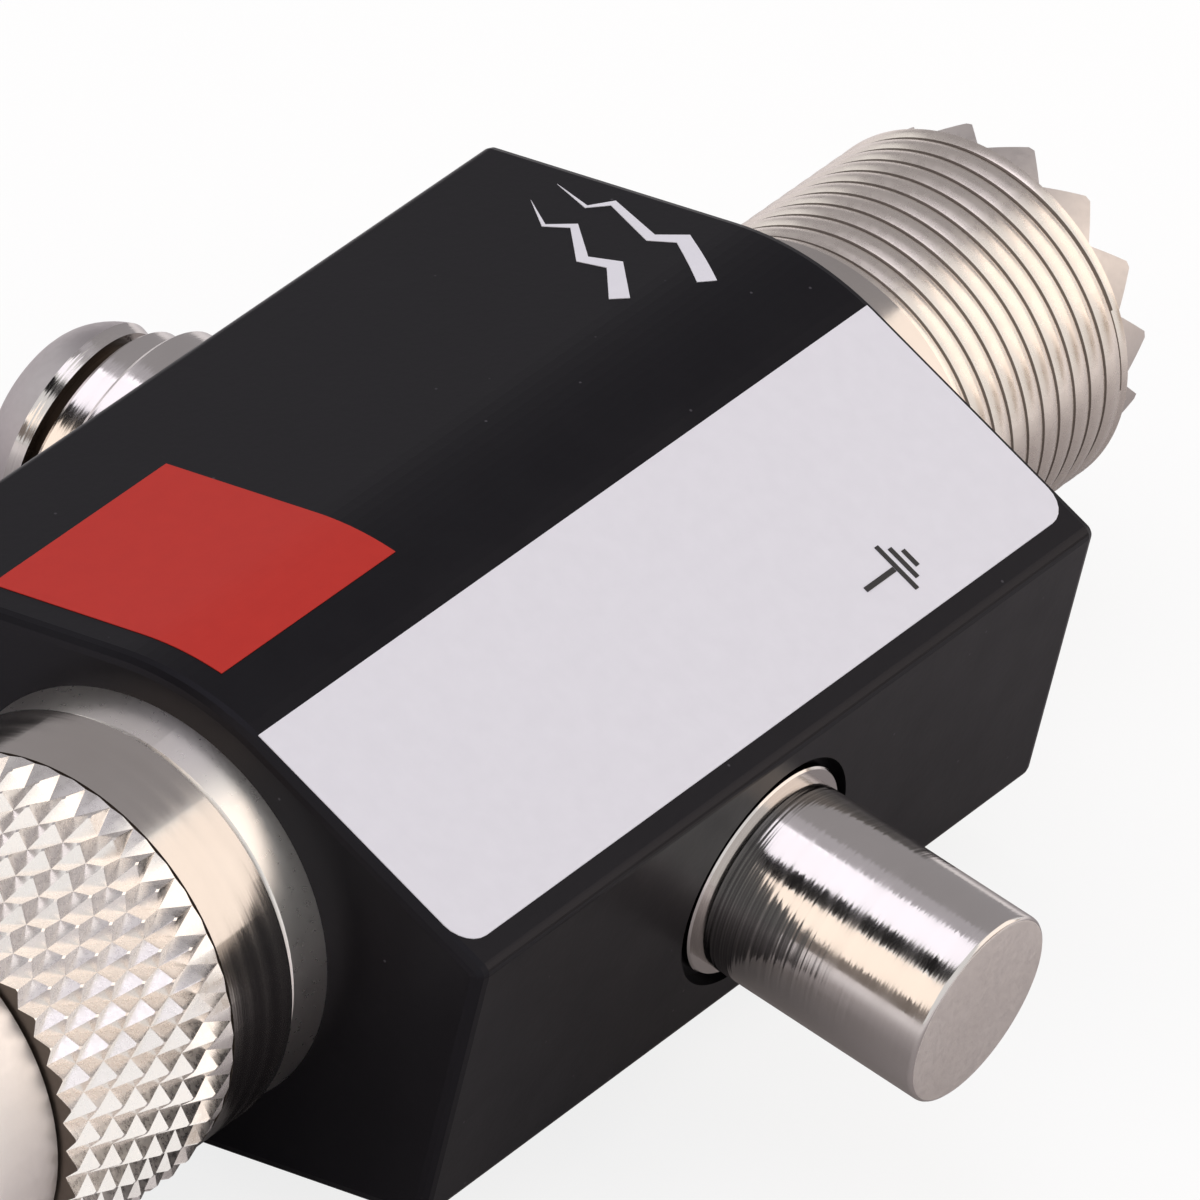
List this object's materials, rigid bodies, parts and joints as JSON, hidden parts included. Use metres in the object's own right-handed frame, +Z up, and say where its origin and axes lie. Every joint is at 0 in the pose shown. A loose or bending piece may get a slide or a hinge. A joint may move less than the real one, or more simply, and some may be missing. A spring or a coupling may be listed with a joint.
{
  "type": "coax lightning arrestor",
  "caption": "Inline coax surge arrestor: black ridged metal housing with a screw-on plug, a threaded socket, a gas tube under a turned cap and an earth screw with washers.",
  "frame": {"origin": "on the coax axis, in the housing face that carries the threaded socket", "axes": "+X along the coax axis and out of the socket, +Z up through the ridge of the roof, -Y towards the turned cap"},
  "size_m": [0.0773, 0.0468, 0.0208],
  "materials": {
    "black_coat": "satin black coat over aluminium",
    "nickel": "bright nickel plate over brass",
    "spring_steel": "bright spring steel",
    "black_steel": "spring steel blackened in oil",
    "brass": "turned brass",
    "ptfe": "white waxy plastic",
    "ceramic": "fired alumina"
  },
  "bodies": {
    "body": {"housing": "black_coat", "plug_body": "nickel", "retaining_ring": "spring_steel", "plug_insulator": "ptfe", "plug_pin": "nickel", "line_rod": "brass", "socket_barrel": "nickel", "socket_insulator": "ptfe", "socket_contact": "brass", "flat_washer": "nickel"},
    "nut": {"coupling_nut": "nickel"},
    "tube_carrier": {"contact_spring": "spring_steel", "tube_ceramic": "ceramic", "tube_electrode_inner": "nickel", "tube_electrode_outer": "nickel"},
    "cap": {"tube_cap": "nickel"},
    "screw_washers": {"spring_washer": "black_steel", "clamp_washer": "nickel"},
    "screw": {"earth_screw": "nickel"}
  },
  "joints": [
    {"name": "nut_spin", "type": "hinge", "parent": "body", "child": "nut", "pos_m": [-0.05, 0, 0], "axis": [1, 0, 0], "continuous": true},
    {"name": "tube_travel", "type": "slide", "parent": "body", "child": "tube_carrier", "axis": [0, -1, 0], "range_m": [0, 0.007]},
    {"name": "cap_turn", "type": "hinge", "parent": "tube_carrier", "child": "cap", "pos_m": [-0.02, -0.015, 0], "axis": [0, -1, 0], "range_deg": [0, 2520]},
    {"name": "screw_travel", "type": "slide", "parent": "body", "child": "screw_washers", "axis": [0, 1, 0], "range_m": [0, 0.0064]},
    {"name": "screw_turn", "type": "hinge", "parent": "screw_washers", "child": "screw", "pos_m": [-0.02, 0.015, 0], "axis": [0, 1, 0], "range_deg": [0, 2880]}
  ],
  "couplings": [
    {"joint": "cap_turn", "follows": "tube_travel", "rad_per_m": 6283.2},
    {"joint": "screw_turn", "follows": "screw_travel", "rad_per_m": 7854}
  ]
}
